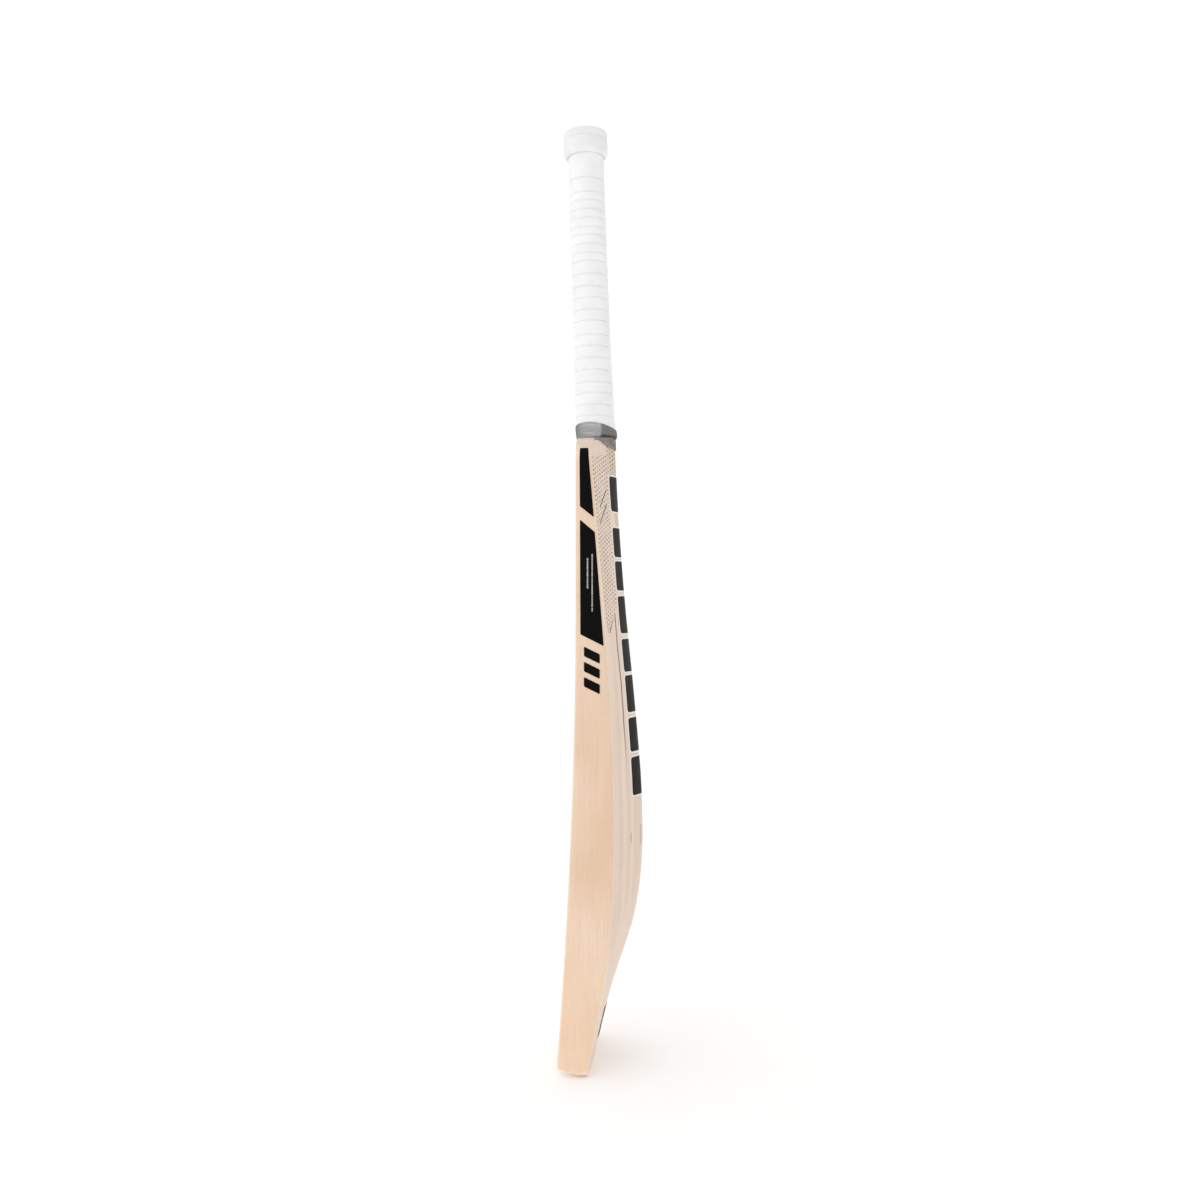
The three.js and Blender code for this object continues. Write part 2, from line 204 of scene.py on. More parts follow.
def split(tree, vector):
    node = tree.nodes.new("ShaderNodeSeparateXYZ")
    tree.links.new(vector, node.inputs[0])
    return node.outputs


def shade(tree, base, factor, darkAt, dark, lightAt=0.7, light=1.0):
    # darkens the base where the factor is low
    veil = ramp(tree, factor, (darkAt, dark), (lightAt, light))
    return mix(tree, 1.0, base, veil, "MULTIPLY")


def smoothStep(tree, value, low, high):
    node = tree.nodes.new("ShaderNodeMapRange")
    node.interpolation_type = "SMOOTHSTEP"
    feed(tree, node.inputs["Value"], value)
    node.inputs["From Min"].default_value = low
    node.inputs["From Max"].default_value = high
    return node.outputs[0]


def colour(red, green, blue):
    # a screen colour, 0 to 255, as the light values that sockets hold
    parts = []
    for part in (red, green, blue):
        share = part / 255
        parts.append(share / 12.92 if share <= 0.04045 else ((share + 0.055) / 1.055) ** 2.4)
    return tuple(parts)


def roughen(tree, shader, factor, low, high):
    feed(tree, shader.inputs["Roughness"], ramp(tree, factor, (0.3, low), (0.7, high)))


willow = {
    "edge": (colour(231, 198, 168), colour(239, 212, 187)),
    "broad": (colour(229, 205, 185), colour(239, 217, 199)),
    # colour of the painted highlight on the rounded arrises
    "arris": colour(243, 222, 202),
    "arrisHighlightShare": 0.6,
    "arrisInside": (0.0478, 0.0502),
    "arrisOutside": (0.0518, 0.0532),
    "edgeFrom": (0.0495, 0.0528),        # half width at which the edge's colour takes over
    "backFrom": (0.018, 0.022),          # how far back the marks on the back begin
    "ring": colour(188, 150, 122),
    "ringShare": 0.15,
    "ringPitch": 0.0094,
    "ringTones": ((0.0, 0.55), (0.05, 0.0), (0.62, 0.06), (0.9, 0.45), (0.97, 1)),
    "toeUp": ((0.02, 1.1), (0.2, 0.985), (0.35, 1.0)),
    "crack": colour(92, 66, 54),
    "crackX": 0.0232,
    "crackWander": 0.005,
    "crackHalf": 0.0005,
    "crackSoft": 0.0009,
    "crackFoot": (0.262, 0.32),
    "crackHead": (0.41, 0.425),
    "flecks": ((0.0215, 0.2078, 0.0035), (0.0055, 0.208, 0.0085)),
    "fleckHalf": 0.0002,
    "fleckSoft": (0.0006, 0.002),
    "fleckShare": 0.7,
    "crackShare": 0.9,
    "sway": (14, 14, 2.6),               # the rings wander by this pattern, and by the swell
    "swayBy": 0.006,
    "swell": (26, 3, 0.8),
    "swellBy": 0.012,
    "streak": (130, 130, 2.0),
    "fibre": (900, 900, 18),
    "blotch": (20, 20, 9),
    "pore": (1900, 1900, 60),
    "coat": 0.12,
    "coatRough": 0.35,
    "relief": (0.22, 0.0004),
}


def willowLook(tree):
    # colour, height and gloss of plain willow
    x, y, z = split(tree, place(tree))
    # growth rings stand across the blade, so they run up it as lines
    sway = noise(tree, place(tree, willow["sway"]), detail=2)
    swell = noise(tree, place(tree, willow["swell"], (4, 0, 2)), detail=1)
    ringAt = sums(tree, "MULTIPLY_ADD", sway, willow["swayBy"], x)
    ringAt = sums(tree, "MULTIPLY_ADD", swell, willow["swellBy"], ringAt)
    ringAt = sums(tree, "FRACT", times(tree, ringAt, 1 / willow["ringPitch"]))
    ringLine = ramp(tree, ringAt, *willow["ringTones"])
    streak = noise(tree, place(tree, willow["streak"]), rough=0.55)
    fibre = noise(tree, place(tree, willow["fibre"]), rough=0.65)
    blotch = noise(tree, place(tree, willow["blotch"], (0, 3, 1)), detail=2)
    pore = noise(tree, place(tree, willow["pore"]), detail=1)
    # the sawn edges are warmer than the wide faces, and the arrises between them get a painted
    # highlight
    away = sums(tree, "ABSOLUTE", x)
    onEdge = smoothStep(tree, away, *willow["edgeFrom"])
    pastArris = smoothStep(tree, away, *willow["arrisOutside"])
    arrisHighlightMask = times(tree, smoothStep(tree, away, *willow["arrisInside"]), rest(tree, pastArris))
    edge = mix(tree, ramp(tree, blotch, (0.35, 0), (0.65, 1)), *willow["edge"])
    broad = mix(tree, ramp(tree, streak, (0.3, 0), (0.7, 1)), *willow["broad"])
    broad = mix(tree, times(tree, ringLine, willow["ringShare"]), broad, willow["ring"])
    base = mix(tree, onEdge, broad, edge)
    # painted highlight along the rounded arrises, front and back
    base = mix(tree, times(tree, arrisHighlightMask, willow["arrisHighlightShare"]), base, willow["arris"])
    base = shade(tree, base, streak, 0.3, 0.975)
    # the colour is lighter close to the toe, and a little darker around 0.2 m up
    base = mix(tree, 1.0, base, ramp(tree, z, *willow["toeUp"]), "MULTIPLY")
    base = shade(tree, base, fibre, 0.25, 0.95, 0.72, 1.02)
    base = shade(tree, base, pore, 0.3, 0.9, 0.38)
    height = sums(tree, "MULTIPLY_ADD", streak, 0.5, fibre)
    height = sums(tree, "MULTIPLY_ADD", ringLine, -0.25, height)
    gloss = ramp(tree, fibre, (0.2, 0.56), (0.8, 0.46))
    return base, height, gloss, (x, y, z)


backPrint = {
    "film": colour(214, 201, 190),
    "filmShare": 0.12,
    "ink": colour(98, 88, 80),
    "inkShare": 0.85,
    "pitch": 0.0038,
    "slope": 0.42,
    "onset": (-0.2, -0.4),       # of the two sets of slanting waves that cross in the dots
    "soft": 0.6,
    "spliceFrom": (0.538, 0.5385),
    "spliceHalf": (0.0216, 0.022),
    "stroke": colour(62, 53, 48),
    "strokes": ((0.5498, 0.0257, 0.0412), (0.5381, 0.0273, 0.0436), (0.4375, 0.0225, 0.042)),
    "strokeSlope": 1.05,
    "strokeHalf": 0.0008,
    "strokeSoft": 0.0006,
    "strokeEnd": 0.001,
    "strokeShare": 0.95,
    "patch": (90, 90, 60),
    "relief": (0.12, 0.0003),
}


def addPrint(tree, base, x, z, cover):
    # rows of fine grey dots on a clear film, as far as cover reaches
    away = sums(tree, "ABSOLUTE", x)
    waves = []
    for slope, onset in zip((-backPrint["slope"], backPrint["slope"]), backPrint["onset"]):
        slant = sums(tree, "MULTIPLY_ADD", away, slope, z)
        wave = sums(tree, "SINE", times(tree, slant, 2 * math.pi / backPrint["pitch"]))
        waves.append(smoothStep(tree, wave, onset, onset + backPrint["soft"]))
    patch = noise(tree, place(tree, backPrint["patch"]), rough=0.6)
    dots = times(tree, times(tree, *waves), ramp(tree, patch, (0.36, 0.4), (0.6, 1)))
    base = mix(tree, times(tree, cover, backPrint["filmShare"]), base, backPrint["film"])
    inked = times(tree, times(tree, dots, cover), backPrint["inkShare"])
    return mix(tree, inked, base, backPrint["ink"])


def stripe(tree, at, centre, half, soft):
    # 1 within half of the centre, fading over soft
    off = sums(tree, "ABSOLUTE", sums(tree, "SUBTRACT", at, centre))
    return rest(tree, smoothStep(tree, off, half, half + soft))


def bladeMaterial():
    material, tree, shader = newMaterial("willowBlade")
    base, height, gloss, (x, y, z) = willowLook(tree)
    # one darker grain line and two short flecks on the back
    wander = noise(tree, place(tree, (0, 0, 22)), detail=2)
    lineAt = sums(tree, "MULTIPLY_ADD", wander, willow["crackWander"], willow["crackX"])
    off = sums(tree, "SUBTRACT", x, lineAt)
    line = stripe(tree, off, 0.0, willow["crackHalf"], willow["crackSoft"])
    belowHead = rest(tree, smoothStep(tree, z, *willow["crackHead"]))
    along = times(tree, smoothStep(tree, z, *willow["crackFoot"]), belowHead)
    onBack = smoothStep(tree, y, *willow["backFrom"])
    mark = times(tree, times(tree, line, along), onBack)
    softX, softZ = willow["fleckSoft"]
    for fleckX, fleckZ, fleckLong in willow["flecks"]:
        thin = stripe(tree, x, fleckX, willow["fleckHalf"], softX)
        fleck = times(tree, thin, stripe(tree, z, fleckZ, fleckLong, softZ))
        fleck = times(tree, times(tree, fleck, onBack), willow["fleckShare"])
        mark = sums(tree, "MAXIMUM", mark, fleck)
    base = mix(tree, times(tree, mark, willow["crackShare"]), base, willow["crack"])
    # the print runs on over the top of the splice
    away = sums(tree, "ABSOLUTE", x)
    cover = times(tree, onBack, smoothStep(tree, z, *backPrint["spliceFrom"]))
    cover = times(tree, cover, rest(tree, smoothStep(tree, away, *backPrint["spliceHalf"])))
    base = addPrint(tree, base, x, z, cover)
    feed(tree, shader.inputs["Base Color"], base)
    feed(tree, shader.inputs["Roughness"], gloss)
    shader.inputs["Coat Weight"].default_value = willow["coat"]
    shader.inputs["Coat Roughness"].default_value = willow["coatRough"]
    bump(tree, shader, height, *willow["relief"])
    return material


cane = {
    "foot": (0, 9.2, 572),   # mm, where the handle leaves the blade
    "lean": 1.96,            # degrees
    "depth": [
        (-6, 16), (4, 15.8), (14, 15.1), (24, 15.2), (49, 14.8),
        (91, 13.9), (119, 13.7), (256, 13.3), (300, 13.3)],
    "width": [
        (-6, 15.6), (4, 15.4), (14, 15.1), (24, 14.9), (49, 14.3),
        (91, 13.6), (256, 13.3), (300, 13.3)],
    "shift": [(-6, 1.4), (4, 1.3), (14, 0.6), (24, 0), (300, 0)],
    "strand": (colour(212, 192, 169), colour(227, 208, 186)),
    "pore": colour(164, 136, 108),
    "weld": 0.00002,         # metres
    "poreScale": (1500, 1500, 12),
    "strandScale": (420, 420, 6),
    "rough": (0.75, 0.6),
    "relief": (0.3, 0.0003),
}


def leaning(tree, scale=(1, 1, 1)):
    # place along the leaning handle
    return place(tree, scale, rotation=(math.radians(-cane["lean"]), 0, 0))


def caneMaterial():
    material, tree, shader = newMaterial("caneSlip")
    cell = tree.nodes.new("ShaderNodeTexVoronoi")
    cell.inputs["Scale"].default_value = 1.0
    tree.links.new(leaning(tree, cane["poreScale"]), cell.inputs["Vector"])
    pores = cell.outputs["Distance"]
    strand = noise(tree, leaning(tree, cane["strandScale"]))
    base = ramp(tree, strand, *zip((0.3, 0.7), cane["strand"]))
    base = mix(tree, ramp(tree, pores, (0.12, 0.35), (0.3, 0)), base, cane["pore"])
    # the print on the back runs over the splice
    x, y, z = split(tree, place(tree))
    onBack = smoothStep(tree, y, *willow["backFrom"])
    cover = times(tree, smoothStep(tree, z, *backPrint["spliceFrom"]), onBack)
    base = addPrint(tree, base, x, z, cover)
    feed(tree, shader.inputs["Base Color"], base)
    roughen(tree, shader, strand, *cane["rough"])
    bump(tree, shader, pores, *cane["relief"])
    return material


spring = {
    "tones": (colour(38, 36, 34), colour(58, 55, 52)),
    "grain": 1400,
    "rough": (0.9, 0.75),
    "relief": (0.2, 0.0002),
}


def springMaterial():
    material, tree, shader = newMaterial("springRubber")
    grain = noise(tree, place(tree), spring["grain"])
    base = ramp(tree, grain, *zip((0.3, 0.7), spring["tones"]))
    feed(tree, shader.inputs["Base Color"], base)
    roughen(tree, shader, grain, *spring["rough"])
    bump(tree, shader, grain, *spring["relief"])
    return material


twine = {
    "pitch": 0.0009,
    "groove": colour(150, 138, 112),
    "cord": colour(226, 217, 194),
    "fuzz": 2200,
    "rough": (0.85, 0.7),
    "relief": (0.5, 0.0003),
}


def twineMaterial():
    material, tree, shader = newMaterial("waxedTwine")
    up = split(tree, leaning(tree))[2]
    ridge = sums(tree, "SINE", times(tree, up, 2 * math.pi / twine["pitch"]))
    fuzz = noise(tree, place(tree), twine["fuzz"])
    raised = sums(tree, "MULTIPLY_ADD", ridge, 0.5, 0.5)
    base = ramp(tree, raised, (0.0, twine["groove"]), (0.6, twine["cord"]))
    base = shade(tree, base, fuzz, 0.3, 0.86)
    feed(tree, shader.inputs["Base Color"], base)
    roughen(tree, shader, fuzz, *twine["rough"])
    bump(tree, shader, ridge, *twine["relief"])
    return material


def between(rows, at):
    if at <= rows[0][0]:
        return rows[0][1]
    for (low, a), (high, b) in zip(rows, rows[1:]):
        if at <= high:
            return a + (b - a) * (at - low) / (high - low)
    return rows[-1][1]


def select(piece):
    bpy.ops.object.select_all(action="DESELECT")
    piece.select_set(True)
    bpy.context.view_layer.objects.active = piece


def smooth(piece, angle):
    select(piece)
    bpy.ops.object.shade_smooth_by_angle(angle=math.radians(angle))


def ringStack(name, rings, sides):
    # rings are (height, allowance over the cane) in mm, run round the wall and back to the first
    bpy.ops.object.select_all(action="DESELECT")
    bpy.ops.mesh.primitive_circle_add(vertices=sides, radius=1, fill_type="NOTHING")
    piece = bpy.context.active_object
    piece.name = name
    piece.data.name = name
    bpy.ops.object.mode_set(mode="EDIT")
    bpy.ops.mesh.select_all(action="SELECT")
    sizes = []
    for height, allowance in rings:
        sizes.append((
            (between(cane["width"], height) + allowance) / 1000,
            (between(cane["depth"], height) + allowance) / 1000,
            between(cane["shift"], height) / 1000,
            height / 1000,
        ))
    wide, deep, shift, up = sizes[0]
    bpy.ops.transform.resize(value=(wide, deep, 1), center_override=(0, 0, 0))
    bpy.ops.transform.translate(value=(0, shift, up))
    for old, new in zip(sizes, sizes[1:]):
        step = (0, new[2] - old[2], new[3] - old[3])
        bpy.ops.mesh.extrude_region_move(TRANSFORM_OT_translate={"value": step})
        bpy.ops.transform.resize(
            value=(new[0] / old[0], new[1] / old[1], 1), center_override=(0, new[2], new[3]))
    bpy.ops.mesh.select_all(action="SELECT")
    bpy.ops.mesh.remove_doubles(threshold=cane["weld"])
    bpy.ops.mesh.normals_make_consistent(inside=False)
    bpy.ops.object.mode_set(mode="OBJECT")
    return piece


def standOnBlade(piece):
    # from the handle's own frame to its leaning place on the blade
    select(piece)
    bpy.ops.object.mode_set(mode="EDIT")
    bpy.ops.mesh.select_all(action="SELECT")
    bpy.ops.transform.rotate(
        value=-math.radians(cane["lean"]), orient_axis="X", center_override=(0, 0, 0))
    bpy.ops.transform.translate(value=[part / 1000 for part in cane["foot"]])
    bpy.ops.object.mode_set(mode="OBJECT")


grip = {
    "sides": 96,
    "clear": 3.2,            # mm over the bare cane
    "bottom": 6.8,
    "top": 284.2,
    "wall": 1.9,
    "grooveDeep": 0.7,
    "grooveHalf": 0.75,
    "lipHigh": 0.25,         # small swelling under each groove
    "lipAt": 1.7,
    "ribRound": 0.4,         # how far each rib swells between its grooves
    "ribLean": 0.8,
    "grooves": [
        20.6, 30.6, 41.6, 51.6, 62.9, 73.9, 84.9, 95.4, 108.2, 118.3, 129.2, 139.7,
        151.2, 163, 170.3, 178.6, 187, 194.2, 202.7, 210.5, 218.7, 226.5, 239.7],
    "marks": [-3.2, -2.3, -1.6, -1.1, -0.7, -0.35, 0, 0.35, 0.75, 1.3, 2.2, 3.6],
    "plain": [10, 13, 16, 245, 250, 256, 262, 270, 278],
    "closest": 0.3,
    "inside": [256, 200, 150, 119, 91, 70, 49, 35, 24, 14],
    "white": (colour(240, 240, 240), colour(247, 247, 247)),
    "inGroove": colour(206, 206, 207),
    "grooveShare": 0.16,
    "grain": 1500,
    "cloud": 60,
    "cloudRelief": 2.0,
    "rough": (0.62, 0.5),
    "specular": 0.3,
    "relief": (0.14, 0.0003),
}


def gripProfile(height):
    # how far the ribbed surface stands off the plain sleeve, mm
    off = 0.0
    for low, high in zip(grip["grooves"], grip["grooves"][1:]):
        if low < height < high:
            share = (height - low) / (high - low)
            off += grip["ribRound"] * (math.sin(math.pi * share ** grip["ribLean"]) - 0.5)
    for groove in grip["grooves"]:
        away = height - groove
        off -= grip["grooveDeep"] * math.exp(-(away / grip["grooveHalf"]) ** 2)
        off += grip["lipHigh"] * math.exp(-(away + grip["lipAt"]) ** 2)
    return off


def makeGrip():
    bottom, top, clear = grip["bottom"], grip["top"], grip["clear"]
    heights = [bottom + 0.5, top - 0.5] + grip["plain"]
    for groove in grip["grooves"]:
        for mark in grip["marks"]:
            heights.append(groove + mark)
    heights = sorted(heights)
    kept = [heights[0]]
    for height in heights[1:]:
        if height - kept[-1] > grip["closest"]:
            kept.append(height)
    inner = clear - grip["wall"]
    rings = [(bottom, clear - 0.6)]
    rings += [(height, clear + gripProfile(height)) for height in kept]
    rings += [(top, clear - 0.5), (top, inner)]
    rings += [(height, inner) for height in grip["inside"]]
    rings += [(bottom, inner), rings[0]]
    piece = ringStack("gripRubber", rings, grip["sides"])
    # depth of the grooves, kept for the colour
    groove = piece.data.attributes.new("grooveDepth", "FLOAT", "POINT")
    values = []
    for vertex in piece.data.vertices:
        dip = -gripProfile(vertex.co.z * 1000) / grip["grooveDeep"]
        values.append(max(0.0, min(1.0, dip)))
    groove.data.foreach_set("value", values)
    standOnBlade(piece)
    smooth(piece, 60)
    return piece


def gripMaterial():
    material, tree, shader = newMaterial("whiteRubber")
    depth = tree.nodes.new("ShaderNodeAttribute")
    depth.attribute_name = "grooveDepth"
    grain = noise(tree, place(tree), grip["grain"], rough=0.6)
    cloud = noise(tree, place(tree), grip["cloud"], rough=0.6)
    base = ramp(tree, cloud, *zip((0.35, 0.7), grip["white"]))
    # the colour is darker down in the grooves, by their depth
    inGroove = times(tree, depth.outputs["Fac"], grip["grooveShare"])
    base = mix(tree, inGroove, base, grip["inGroove"])
    base = shade(tree, base, grain, 0.3, 0.97)
    feed(tree, shader.inputs["Base Color"], base)
    roughen(tree, shader, grain, *grip["rough"])
    shader.inputs["Specular IOR Level"].default_value = grip["specular"]
    height = sums(tree, "MULTIPLY_ADD", cloud, grip["cloudRelief"], grain)
    bump(tree, shader, height, *grip["relief"])
    return material


band = {
    "sides": 96,
    "outer": [
        (262.0, 3.6), (262.0, 4.3), (262.15, 5.1), (262.7, 6.0), (263.7, 6.7), (265.2, 7.1),
        (267.5, 7.3), (271, 7.35), (275, 7.3), (276.6, 7.1), (277.4, 6.7), (278, 6.35),
        (278.6, 6.75), (279.3, 7.15), (280.6, 7.4), (282.4, 7.35), (283.6, 7.1), (284.4, 6.7),
        (284.85, 6.0), (285, 5.2), (285, 4.4), (284.9, 3.7)],
    "inner": [(284.2, 3.5), (274, 3.5), (264, 3.5)],
    "white": (colour(234, 234, 234), colour(242, 242, 242)),
    "grain": 1300,
    "cloud": 70,
    "cloudRelief": 1.5,
    "rough": (0.66, 0.52),
    "specular": 0.3,
    "relief": (0.15, 0.0003),
}


def makeBand():
    rings = band["outer"] + band["inner"] + [band["outer"][0]]
    piece = ringStack("gripBand", rings, band["sides"])
    standOnBlade(piece)
    smooth(piece, 60)
    return piece


def bandMaterial():
    material, tree, shader = newMaterial("bandRubber")
    grain = noise(tree, place(tree), band["grain"], rough=0.6)
    cloud = noise(tree, place(tree, (1, 1, 2)), band["cloud"], rough=0.6)
    base = ramp(tree, cloud, *zip((0.35, 0.7), band["white"]))
    base = shade(tree, base, grain, 0.3, 0.965)
    feed(tree, shader.inputs["Base Color"], base)
    roughen(tree, shader, grain, *band["rough"])
    shader.inputs["Specular IOR Level"].default_value = band["specular"]
    height = sums(tree, "MULTIPLY_ADD", cloud, band["cloudRelief"], grain)
    bump(tree, shader, height, *band["relief"])
    return material


tape = {
    "sides": 96,
    "turns": [
        (0.4, 1.9), (0.6, 2.5), (1.6, 2.9), (3.0, 3.2), (3.2, 3.05),
        (4.4, 3.45), (5.6, 3.65), (5.9, 3.45), (7.3, 3.7), (8.2, 3.75),
        (8.5, 3.55), (9.1, 3.7), (10.2, 3.75), (10.7, 3.6), (10.85, 3.4)],
    "inside": [(10.6, 3.25), (6.6, 3.25), (5.2, 2.6), (3.2, 1.45), (0.4, 1.4)],
    "slope": -0.137,         # the top edge falls towards the back
    "hump": 3.5,             # and rises at the two sides, mm
    "tones": (colour(150, 152, 153), colour(174, 176, 177), colour(196, 198, 199)),
    # painted shade tones: over the back half, at the face side, and along the bottom edge
    "lapped": colour(92, 90, 88),
    "backShadeFrom": (0.30, 0.46),     # angles round the handle, radians
    "backShadeTo": (2.7, 2.85),
    "faceSideShade": colour(98, 98, 100),
    "faceHalf": 0.35,
    "faceSoft": 0.95,
    "foot": colour(52, 50, 48),
    "footUp": (1.6, 3.4),
    "threadUp": 0.55,
    "threadsRound": 220,
    "wrap": 1.2,
    "wrapUp": 1.3,
    "streak": 1.1,
    "liftFrom": 1.0,             # mm up the tape at which its top edge starts to rise and fall
    "liftOver": 9.8,
    "liftEase": 1.3,
    "lappedShare": 0.74,
    "faceSideShadeShare": 0.8,
    "footShadowShare": 0.8,
    "rough": (0.8, 0.55),
    "relief": (0.35, 0.0002),
}


def makeTape():
    rings = tape["turns"] + tape["inside"] + [tape["turns"][0]]
    piece = ringStack("throatTape", rings, tape["sides"])
    lap = piece.data.attributes.new("lapHeight", "FLOAT", "POINT")
    turn = piece.data.attributes.new("lapTurn", "FLOAT", "POINT")
    laps = []
    turns = []
    for vertex in piece.data.vertices:
        height = vertex.co.z * 1000
        angle = math.atan2(vertex.co.y, vertex.co.x)
        laps.append(height)
        turns.append(angle)
        share = max(0.0, min(1.0, (height - tape["liftFrom"]) / tape["liftOver"]))
        lift = tape["slope"] * vertex.co.y * 1000 + tape["hump"] * math.cos(angle) ** 2
        vertex.co.z += share ** tape["liftEase"] * lift / 1000
    lap.data.foreach_set("value", laps)
    turn.data.foreach_set("value", turns)
    standOnBlade(piece)
    smooth(piece, 50)
    return piece


def tapeMaterial():
    material, tree, shader = newMaterial("greyTape")
    lap = tree.nodes.new("ShaderNodeAttribute")
    lap.attribute_name = "lapHeight"
    height = lap.outputs["Fac"]
    turn = tree.nodes.new("ShaderNodeAttribute")
    turn.attribute_name = "lapTurn"
    angle = turn.outputs["Fac"]
    # streaks run round the tape
    wrap = tree.nodes.new("ShaderNodeCombineXYZ")
    feed(tree, wrap.inputs[0], times(tree, sums(tree, "COSINE", angle), tape["wrap"]))
    feed(tree, wrap.inputs[1], times(tree, sums(tree, "SINE", angle), tape["wrap"]))
    feed(tree, wrap.inputs[2], times(tree, height, tape["wrapUp"]))
    streak = noise(tree, wrap.outputs[0], tape["streak"], rough=0.6)
    weaveUp = sums(tree, "SINE", times(tree, height, 2 * math.pi / tape["threadUp"]))
    weaveRound = sums(tree, "SINE", times(tree, angle, tape["threadsRound"]))
    weave = times(tree, weaveUp, weaveRound)
    base = ramp(tree, streak, *zip((0.3, 0.5, 0.7), tape["tones"]))
    # painted shade over the back half of the tape, and round at the face side
    beforeEnd = rest(tree, smoothStep(tree, angle, *tape["backShadeTo"]))
    lapped = times(tree, smoothStep(tree, angle, *tape["backShadeFrom"]), beforeEnd)
    faceSideShade = stripe(tree, angle, -math.pi / 2, tape["faceHalf"], tape["faceSoft"])
    base = mix(tree, times(tree, lapped, tape["lappedShare"]), base, tape["lapped"])
    base = mix(tree, times(tree, faceSideShade, tape["faceSideShadeShare"]), base, tape["faceSideShade"])
    # painted shadow along the bottom edge of the tape, on the back half
    low = rest(tree, smoothStep(tree, height, *tape["footUp"]))
    foot = times(tree, times(tree, low, lapped), tape["footShadowShare"])
    base = mix(tree, foot, base, tape["foot"])
    base = shade(tree, base, sums(tree, "MULTIPLY_ADD", weave, 0.5, 0.5), 0.0, 0.86, 1.0, 1.03)
    feed(tree, shader.inputs["Base Color"], base)
    roughen(tree, shader, streak, *tape["rough"])
    bump(tree, shader, weave, *tape["relief"])
    return material


tongue = {
    "thread": 0.0007,
    "tones": (colour(118, 111, 109), colour(154, 147, 144)),
    "wear": (90, 90, 140),
    "rough": (0.8, 0.62),
    "relief": (0.35, 0.0002),
}


def tongueMaterial():
    material, tree, shader = newMaterial("brownGreyTape")
    x, _, z = split(tree, place(tree))
    across = sums(tree, "SINE", times(tree, x, 2 * math.pi / tongue["thread"]))
    up = sums(tree, "SINE", times(tree, z, 2 * math.pi / tongue["thread"]))
    weave = times(tree, across, up)
    wear = noise(tree, place(tree, tongue["wear"]), rough=0.6)
    base = ramp(tree, wear, *zip((0.32, 0.7), tongue["tones"]))
    base = shade(tree, base, sums(tree, "MULTIPLY_ADD", weave, 0.5, 0.5), 0.0, 0.88, 1.0, 1.03)
    feed(tree, shader.inputs["Base Color"], base)
    roughen(tree, shader, wear, *tongue["rough"])
    bump(tree, shader, weave, *tongue["relief"])
    return material


vinyl = {
    "panel": colour(5, 5, 5),
    "badge": colour(6, 6, 6),
    "toe": colour(52, 46, 44),
    "scuff": colour(90, 86, 84),
    "hair": colour(206, 204, 200),
    "hairs": ((0.0072, 0.0005, 0.4473, 0.0132), (0.0113, 0.0004, 0.4387, 0.0251)),
    "pressed": 0.00014,      # how far the edge stickers are let into their glue
    "pressedBack": 0.00022,
    "grain": 900,
    "scuffScale": (60, 60, 20),
    "rough": (0.38, 0.52),
    "specular": 0.06,
    "relief": (0.06, 0.0002),
    "dash": (0, 0, 900),
    "hairSoft": (0.0003, 0.0006),
}


def vinylBase(tree, shader, dark):
    grain = noise(tree, place(tree), vinyl["grain"], rough=0.6)
    scuff = noise(tree, place(tree, vinyl["scuffScale"]), detail=4, rough=0.7)
    light = tuple(part * 1.5 + 0.001 for part in dark)
    base = ramp(tree, grain, (0.3, dark), (0.7, light))
    base = mix(tree, ramp(tree, scuff, (0.66, 0), (0.85, 0.08)), base, vinyl["scuff"])
    roughen(tree, shader, scuff, *vinyl["rough"])
    shader.inputs["Specular IOR Level"].default_value = vinyl["specular"]
    bump(tree, shader, grain, *vinyl["relief"])
    return base


def panelMaterial():
    material, tree, shader = newMaterial("panelVinyl")
    base = vinylBase(tree, shader, vinyl["panel"])
    _, y, z = split(tree, place(tree))
    # two dashed hair lines of pale print
    softY, softZ = vinyl["hairSoft"]
    dash = ramp(tree, noise(tree, place(tree, vinyl["dash"]), detail=1), (0.4, 0.15), (0.5, 0.75))
    for lineY, lineHalf, lineZ, lineLong in vinyl["hairs"]:
        hair = stripe(tree, y, lineY, lineHalf, softY)
        hair = times(tree, hair, stripe(tree, z, lineZ, lineLong, softZ))
        base = mix(tree, times(tree, hair, dash), base, vinyl["hair"])
    feed(tree, shader.inputs["Base Color"], base)
    return material


def plainVinyl(name, dark):
    material, tree, shader = newMaterial(name)
    feed(tree, shader.inputs["Base Color"], vinylBase(tree, shader, dark))
    return material


block = {
    "halfWide": 0.0194,
    "border": 0.0015,
    "borderSoft": 0.00015,
    "corner": 0.0045,
    "ink": colour(27, 25, 22),
    "edge": colour(236, 232, 226),
}


def blockMaterial(name, low, high):
    material, tree, shader = newMaterial(name)
    base = vinylBase(tree, shader, block["ink"])
    x, _, z = split(tree, place(tree))
    halfTall = (high - low) / 2
    corner = block["corner"]
    # distance inside the rounded outline of the sticker
    offMiddle = sums(tree, "SUBTRACT", z, (low + high) / 2)
    sideways = sums(tree, "SUBTRACT", sums(tree, "ABSOLUTE", x), block["halfWide"] - corner)
    upright = sums(tree, "SUBTRACT", sums(tree, "ABSOLUTE", offMiddle), halfTall - corner)
    outX = sums(tree, "MAXIMUM", sideways, 0.0)
    outZ = sums(tree, "MAXIMUM", upright, 0.0)
    far = sums(tree, "SQRT", sums(tree, "MULTIPLY_ADD", outX, outX, times(tree, outZ, outZ)))
    near = sums(tree, "MINIMUM", sums(tree, "MAXIMUM", sideways, upright), 0.0)
    reach = sums(tree, "ADD", far, near)
    rimAt = corner - block["border"]
    rim = smoothStep(tree, reach, rimAt - block["borderSoft"], rimAt + block["borderSoft"])
    feed(tree, shader.inputs["Base Color"], mix(tree, rim, base, block["edge"]))
    return material


